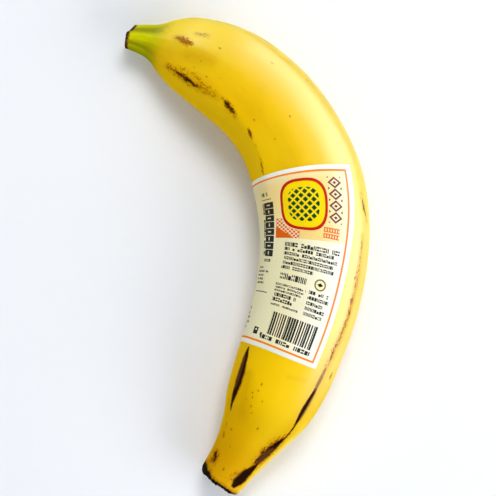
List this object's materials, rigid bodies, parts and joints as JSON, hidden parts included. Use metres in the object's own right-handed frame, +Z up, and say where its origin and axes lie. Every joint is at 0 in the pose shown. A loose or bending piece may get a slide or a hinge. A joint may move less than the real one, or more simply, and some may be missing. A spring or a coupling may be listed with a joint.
{
  "type": "banana",
  "caption": "Curved ripe fruit lying on its side, with soft lengthwise ridges, a snapped green stem, a blunt dark tip and a paper label pressed round its belly.",
  "frame": {"origin": "on the surface that the fruit lies on, under the middle of its box", "axes": "+Z up, +Y along the straight line from the blossom end to the stem, +X towards the outside of the fruit's curve"},
  "size_m": [0.0736, 0.1628, 0.036],
  "materials": {
    "banana_skin": "satin",
    "label_paper": "satin coated paper"
  },
  "bodies": {
    "root": {"banana": "banana_skin", "paper_label": "label_paper"}
  },
  "joints": []
}
